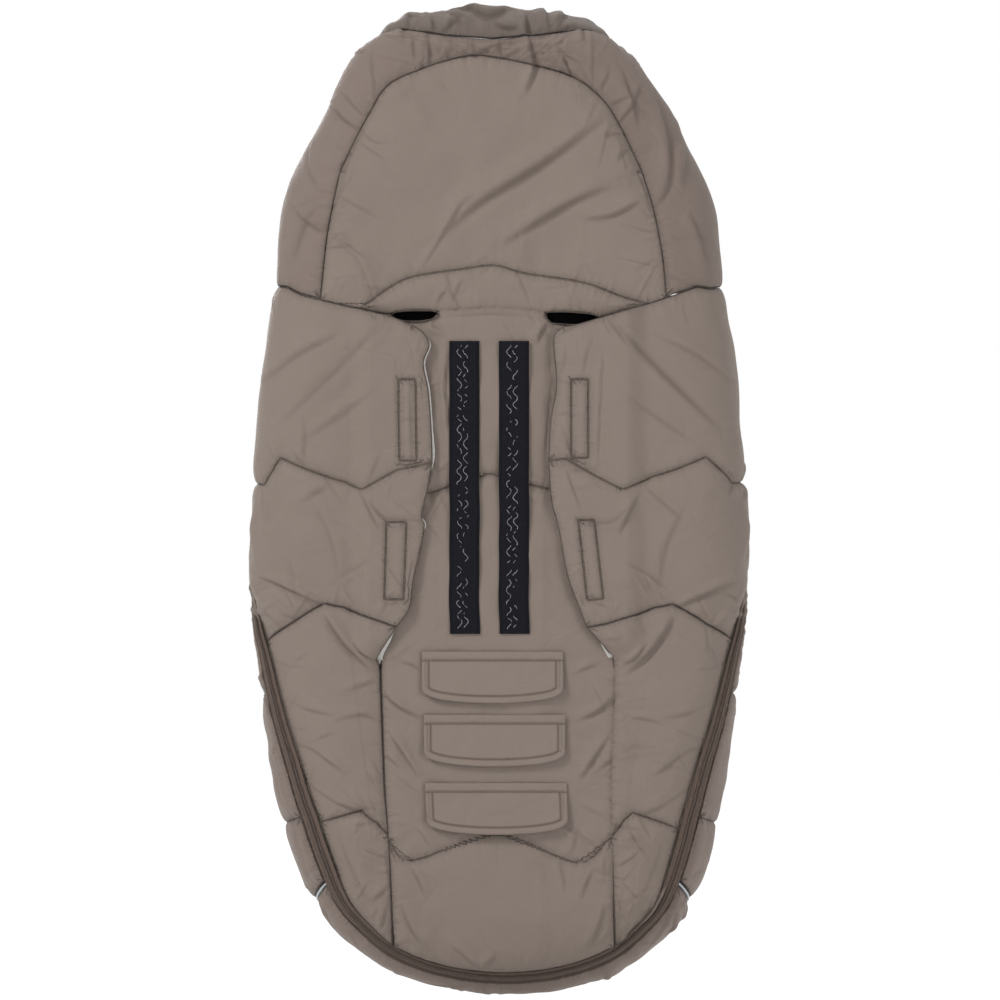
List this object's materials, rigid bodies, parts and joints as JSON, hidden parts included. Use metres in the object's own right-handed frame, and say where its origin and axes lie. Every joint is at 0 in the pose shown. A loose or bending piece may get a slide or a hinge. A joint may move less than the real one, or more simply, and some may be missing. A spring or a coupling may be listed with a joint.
{
  "type": "stroller footmuff",
  "caption": "Padded mummy-shaped stroller footmuff with a hood, a zip-off front cover, harness flaps and crotch slits in its back.",
  "frame": {"origin": "on the seat side, in the plane of the two grip tapes' outer faces and on the centre line, halfway between the hood's top and the toe", "axes": "-Y towards the pram seat, +Y towards the front cover, +Z towards the hood, +X to the right as seen from the seat side"},
  "size_m": [0.503, 0.1225, 0.9868],
  "materials": {
    "shell": "matt padded taupe polyester",
    "shell_band": "matt padded taupe polyester, a little darker",
    "rim_fabric": "dark taupe binding fabric",
    "lining": "soft white lining",
    "elastic": "woven elastic",
    "grip_tape": "black tape with pale silicone lines",
    "hook_tape": "hook tape",
    "loop_tape": "loop tape",
    "piping": "silver reflective piping",
    "zip_tape": "dark brown woven tape",
    "zip_coil": "nylon coil",
    "slider": "painted dark brown"
  },
  "bodies": {
    "bag": {"back_centre_panel": "shell", "side_panel_left": "shell", "side_panel_right": "shell", "hood_crown_panel": "shell", "hood_band": "shell_band", "hood_rim_strip": "rim_fabric", "hood_rim_facing": "rim_fabric", "slit_binding_1": "rim_fabric", "slit_binding_2": "rim_fabric", "slit_binding_3": "rim_fabric", "centre_lining": "lining", "side_lining_left": "lining", "side_lining_right": "lining", "hood_lining": "lining", "hood_elastic": "elastic", "grip_tape_left": "grip_tape", "grip_tape_right": "grip_tape", "base_pad_left_upper": "loop_tape", "base_pad_left_lower": "loop_tape", "base_pad_right_upper": "loop_tape", "base_pad_right_lower": "loop_tape", "zip_tape_body": "zip_tape", "zip_coil_body": "zip_coil"},
    "harness_flap_left": {"harness_flap_left": "shell", "flap_pad_left_upper": "hook_tape", "flap_pad_left_lower": "hook_tape"},
    "harness_flap_right": {"harness_flap_right": "shell", "flap_pad_right_upper": "hook_tape", "flap_pad_right_lower": "hook_tape"},
    "crotch_flap_1": {"crotch_flap_1": "shell"},
    "crotch_flap_2": {"crotch_flap_2": "shell"},
    "crotch_flap_3": {"crotch_flap_3": "shell"},
    "cover_lower": {"front_panel": "shell", "cover_band_left": "shell_band", "cover_band_right": "shell_band", "foot_cap": "shell", "foot_cap_lining": "lining", "reflective_piping": "piping", "cover_lining": "lining", "zip_tape_cover": "zip_tape", "zip_coil_cover": "zip_coil"},
    "cover_upper": {"chest_panel": "shell", "chest_lining": "lining", "chest_hem": "shell", "zip_tape_chest_left": "zip_tape", "zip_tape_chest_right": "zip_tape", "zip_coil_chest_left": "zip_coil", "zip_coil_chest_right": "zip_coil"},
    "zip_slider_left": {"zip_slider_left": "slider"},
    "zip_pull_left": {"zip_pull_left": "slider"},
    "zip_slider_right": {"zip_slider_right": "slider"},
    "zip_pull_right": {"zip_pull_right": "slider"}
  },
  "joints": [
    {"name": "harness_flap_left_hinge", "type": "hinge", "parent": "bag", "child": "harness_flap_left", "pos_m": [-0.133, -0.0057, 0], "axis": [0, 0, -1], "range_deg": [0, 110]},
    {"name": "harness_flap_right_hinge", "type": "hinge", "parent": "bag", "child": "harness_flap_right", "pos_m": [0.133, -0.0064, 0], "axis": [0, 0, 1], "range_deg": [0, 110]},
    {"name": "crotch_flap_1_hinge", "type": "hinge", "parent": "bag", "child": "crotch_flap_1", "pos_m": [-0.0065, -0.0006, -0.1645], "axis": [-1, 0, 0], "range_deg": [0, 110]},
    {"name": "crotch_flap_2_hinge", "type": "hinge", "parent": "bag", "child": "crotch_flap_2", "pos_m": [-0.0045, -0.0006, -0.2275], "axis": [-1, 0, 0], "range_deg": [0, 110]},
    {"name": "crotch_flap_3_hinge", "type": "hinge", "parent": "bag", "child": "crotch_flap_3", "pos_m": [-0.003, -0.0006, -0.2955], "axis": [-1, 0, 0], "range_deg": [0, 110]},
    {"name": "cover_toe_hinge", "type": "hinge", "parent": "bag", "child": "cover_lower", "pos_m": [0, 0.01856, -0.4895], "axis": [-1, 0, 0], "range_deg": [0, 85]},
    {"name": "cover_fold", "type": "hinge", "parent": "cover_lower", "child": "cover_upper", "pos_m": [0, 0.1165, 0.03], "axis": [-1, 0, 0], "range_deg": [0, 150]},
    {"name": "zip_slide_left", "type": "slide", "parent": "cover_upper", "child": "zip_slider_left", "axis": [0, 0, -1], "range_m": [0, 0.07]},
    {"name": "zip_pull_left_hinge", "type": "hinge", "parent": "zip_slider_left", "child": "zip_pull_left", "pos_m": [-0.138, 0.1141, 0.1375], "axis": [1, 0, 0], "range_deg": [0, 150]},
    {"name": "zip_slide_right", "type": "slide", "parent": "cover_upper", "child": "zip_slider_right", "axis": [0, 0, -1], "range_m": [0, 0.07]},
    {"name": "zip_pull_right_hinge", "type": "hinge", "parent": "zip_slider_right", "child": "zip_pull_right", "pos_m": [0.138, 0.1141, 0.1375], "axis": [1, 0, 0], "range_deg": [0, 150]}
  ]
}
